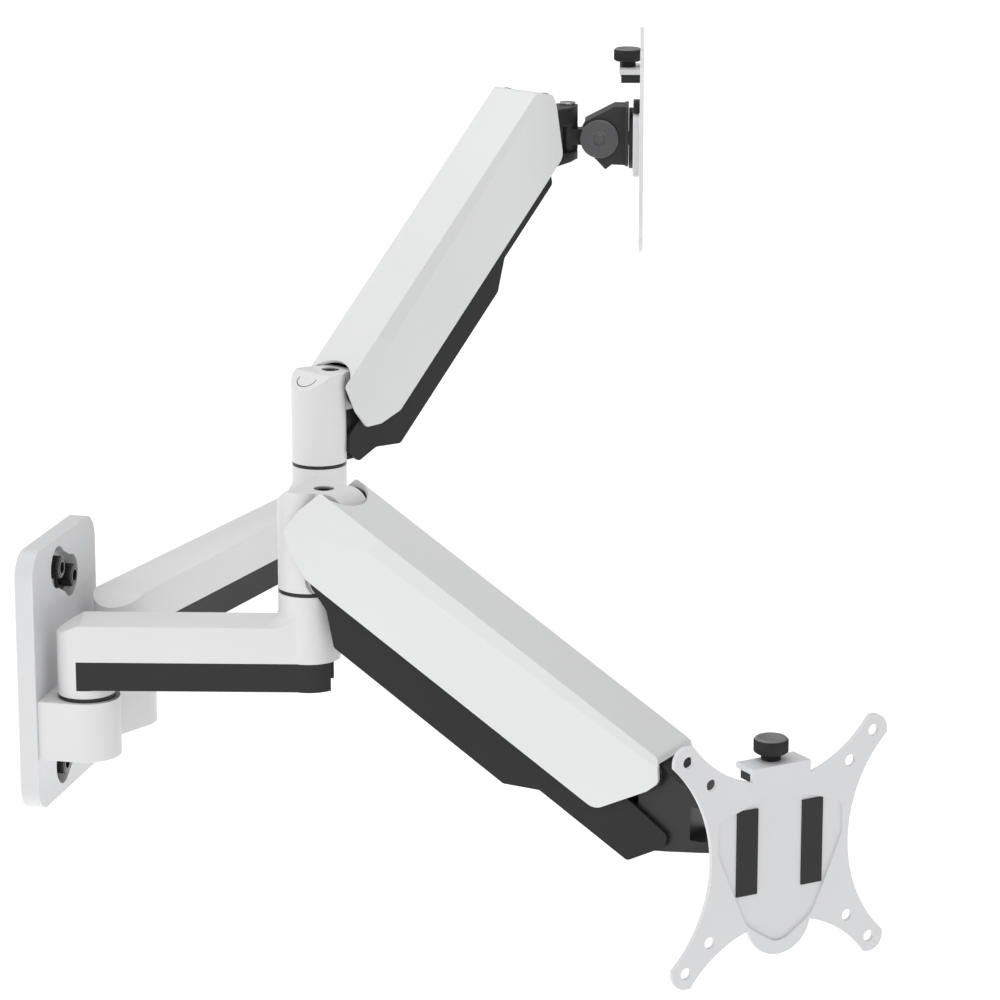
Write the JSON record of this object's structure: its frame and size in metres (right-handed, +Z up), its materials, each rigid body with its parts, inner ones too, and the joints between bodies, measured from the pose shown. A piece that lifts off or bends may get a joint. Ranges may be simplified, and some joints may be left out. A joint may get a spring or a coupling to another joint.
{
  "type": "monitor arm",
  "caption": "Wall-mounted arm for two monitors: each side has an extension arm, a covered gas-spring arm and a tilting, turning mounting plate.",
  "frame": {"origin": "centre of the wall plate's back face, which lies on the wall", "axes": "+X out of the wall, +Z up; the near arm is on the -Y side and the far arm on the +Y side"},
  "size_m": [0.4269, 0.6158, 0.3584],
  "materials": {
    "white_metal": "satin white paint",
    "white_cast": "satin white paint on cast aluminium",
    "white_cover": "smooth white moulding",
    "black_plastic": "fine satin black",
    "black_steel": "satin black paint on steel",
    "grey_cast": "dark grey paint on cast alloy",
    "bright_steel": "bright turned steel",
    "black_zinc": "black zinc fastener",
    "grey_disc": "mid grey paint"
  },
  "bodies": {
    "wall": {"wall_plate": "white_metal", "wall_bracket": "white_cast", "bracket_screws": "black_zinc", "lag_bolts": "black_zinc", "lag_washers": "black_zinc", "root_bushes": "black_plastic", "root_shafts": "bright_steel"},
    "near_ext": {"near_ext_arm": "white_cast", "near_cable_trim": "black_plastic", "near_elbow_bush": "black_plastic", "near_elbow_shaft": "bright_steel"},
    "near_post_body": {"near_post": "white_cast", "near_post_bracket": "black_steel", "near_root_pins": "bright_steel"},
    "near_tension": {"near_tension_screw": "black_zinc"},
    "near_arm": {"near_arm_channel": "black_steel", "near_arm_cover": "white_cover", "near_gas_cylinder": "black_steel"},
    "near_rod": {"near_gas_rod": "bright_steel"},
    "near_link": {"near_lower_link": "black_steel"},
    "near_head": {"near_head_bracket": "grey_cast", "near_head_pins": "bright_steel", "near_swivel_pin": "bright_steel"},
    "near_swivel": {"near_swivel_link": "grey_cast"},
    "near_tilt": {"near_tilt_bracket": "grey_cast", "near_tilt_bolt": "grey_disc"},
    "near_turntable": {"near_rotation_disc": "black_plastic", "near_rotation_bolt": "bright_steel", "near_release_plate": "white_metal"},
    "near_face": {"near_vesa_plate": "white_metal", "near_slot_slides": "black_plastic", "near_plate_clip": "black_plastic"},
    "near_thumb": {"near_thumb_screw": "black_plastic"},
    "far_ext": {"far_ext_arm": "white_cast", "far_cable_trim": "black_plastic", "far_elbow_bush": "black_plastic", "far_elbow_shaft": "bright_steel"},
    "far_post_body": {"far_post": "white_cast", "far_post_bracket": "black_steel", "far_root_pins": "bright_steel"},
    "far_tension": {"far_tension_screw": "black_zinc"},
    "far_arm": {"far_arm_channel": "black_steel", "far_arm_cover": "white_cover", "far_gas_cylinder": "black_steel"},
    "far_rod": {"far_gas_rod": "bright_steel"},
    "far_link": {"far_lower_link": "black_steel"},
    "far_head": {"far_head_bracket": "grey_cast", "far_head_pins": "bright_steel", "far_swivel_pin": "bright_steel"},
    "far_swivel": {"far_swivel_link": "grey_cast"},
    "far_tilt": {"far_tilt_bracket": "grey_cast", "far_tilt_bolt": "grey_disc"},
    "far_turntable": {"far_rotation_disc": "black_plastic", "far_rotation_bolt": "bright_steel", "far_release_plate": "white_metal"},
    "far_face": {"far_vesa_plate": "white_metal", "far_slot_slides": "black_plastic", "far_plate_clip": "black_plastic"},
    "far_thumb": {"far_thumb_screw": "black_plastic"}
  },
  "joints": [
    {"name": "near_root_yaw", "type": "hinge", "parent": "wall", "child": "near_ext", "pos_m": [0.029, -0.028, 0], "axis": [0, 0, 1], "range_deg": [-50, 28]},
    {"name": "near_elbow_yaw", "type": "hinge", "parent": "near_ext", "child": "near_post_body", "pos_m": [0.13679, -0.00607, 0.0479], "axis": [0, 0, 1], "range_deg": [-45, 60]},
    {"name": "near_tension_turn", "type": "hinge", "parent": "near_post_body", "child": "near_tension", "pos_m": [0.14546, -0.00847, 0.0872], "axis": [0, 0, 1], "range_deg": [-360, 360]},
    {"name": "near_arm_pitch", "type": "hinge", "parent": "near_post_body", "child": "near_arm", "pos_m": [0.15279, -0.01051, 0.0872], "axis": [-0.2672, -0.9636, 0], "range_deg": [-11.9, 80.1]},
    {"name": "near_link_pitch", "type": "hinge", "parent": "near_post_body", "child": "near_link", "pos_m": [0.15279, -0.01051, 0.0552], "axis": [-0.2672, -0.9636, 0], "range_deg": [-12.4, 80.6]},
    {"name": "near_rod_slide", "type": "slide", "parent": "near_arm", "child": "near_rod", "axis": [0.8337, -0.2312, -0.5015], "range_m": [-0.01138, 0.00186]},
    {"name": "near_head_level", "type": "hinge", "parent": "near_arm", "child": "near_head", "pos_m": [0.32119, -0.05721, -0.01411], "axis": [-0.2672, -0.9636, 0], "range_deg": [-80.6, 12.4]},
    {"name": "near_swivel_turn", "type": "hinge", "parent": "near_head", "child": "near_swivel", "pos_m": [0.35492, -0.06656, -0.03701], "axis": [0, 0, 1], "range_deg": [-28.1, 91.9]},
    {"name": "near_tilt_turn", "type": "hinge", "parent": "near_swivel", "child": "near_tilt", "pos_m": [0.36751, -0.08025, -0.03601], "axis": [-0.7361, -0.6769, 0], "range_deg": [-35, 15]},
    {"name": "near_screen_rotation", "type": "hinge", "parent": "near_tilt", "child": "near_turntable", "pos_m": [0.38457, -0.0988, -0.03701], "axis": [0.6769, -0.7361, 0], "range_deg": [-90, 90]},
    {"name": "near_plate_lift", "type": "slide", "parent": "near_turntable", "child": "near_face", "axis": [0, 0, 1], "range_m": [0, 0.02]},
    {"name": "near_thumb_turn", "type": "hinge", "parent": "near_face", "child": "near_thumb", "pos_m": [0.37827, -0.09196, -0.03701], "axis": [0, 0, 1], "range_deg": [0, 360]},
    {"name": "far_root_yaw", "type": "hinge", "parent": "wall", "child": "far_ext", "pos_m": [0.029, 0.028, 0], "axis": [0, 0, 1], "range_deg": [-60, 10]},
    {"name": "far_elbow_yaw", "type": "hinge", "parent": "far_ext", "child": "far_post_body", "pos_m": [0.07059, 0.24811, 0.0479], "axis": [0, 0, 1], "range_deg": [-65, 20]},
    {"name": "far_tension_turn", "type": "hinge", "parent": "far_post_body", "child": "far_tension", "pos_m": [0.07539, 0.25572, 0.0872], "axis": [0, 0, 1], "range_deg": [-360, 360]},
    {"name": "far_arm_pitch", "type": "hinge", "parent": "far_post_body", "child": "far_arm", "pos_m": [0.07944, 0.26215, 0.0872], "axis": [0.8462, -0.5329, 0], "range_deg": [-86.7, 5.3]},
    {"name": "far_link_pitch", "type": "hinge", "parent": "far_post_body", "child": "far_link", "pos_m": [0.07944, 0.26215, 0.0552], "axis": [0.8462, -0.5329, 0], "range_deg": [-87.2, 5.8]},
    {"name": "far_rod_slide", "type": "slide", "parent": "far_arm", "child": "far_rod", "axis": [0.3788, 0.6015, 0.7034], "range_m": [-0.00094, 0.01231]},
    {"name": "far_head_level", "type": "hinge", "parent": "far_arm", "child": "far_head", "pos_m": [0.15595, 0.38365, 0.22929], "axis": [0.8462, -0.5329, 0], "range_deg": [-5.8, 87.2]},
    {"name": "far_swivel_turn", "type": "hinge", "parent": "far_head", "child": "far_swivel", "pos_m": [0.1746, 0.41327, 0.20639], "axis": [0, 0, 1], "range_deg": [-13.2, 106.8]},
    {"name": "far_tilt_turn", "type": "hinge", "parent": "far_swivel", "child": "far_tilt", "pos_m": [0.19286, 0.41682, 0.20739], "axis": [0.1908, -0.9816, 0], "range_deg": [-35, 15]},
    {"name": "far_screen_rotation", "type": "hinge", "parent": "far_tilt", "child": "far_turntable", "pos_m": [0.21759, 0.42162, 0.20639], "axis": [0.9816, 0.1908, 0], "range_deg": [-90, 90]},
    {"name": "far_plate_lift", "type": "slide", "parent": "far_turntable", "child": "far_face", "axis": [0, 0, 1], "range_m": [0, 0.02]},
    {"name": "far_thumb_turn", "type": "hinge", "parent": "far_face", "child": "far_thumb", "pos_m": [0.20846, 0.41985, 0.20639], "axis": [0, 0, 1], "range_deg": [0, 360]}
  ],
  "couplings": [
    {"joint": "near_link_pitch", "follows": "near_arm_pitch", "ratio": 1},
    {"joint": "near_head_level", "follows": "near_arm_pitch", "ratio": -1},
    {"joint": "near_rod_slide", "follows": "near_arm_pitch", "m_per_rad": -0.008},
    {"joint": "far_link_pitch", "follows": "far_arm_pitch", "ratio": 1},
    {"joint": "far_head_level", "follows": "far_arm_pitch", "ratio": -1},
    {"joint": "far_rod_slide", "follows": "far_arm_pitch", "m_per_rad": -0.008}
  ]
}
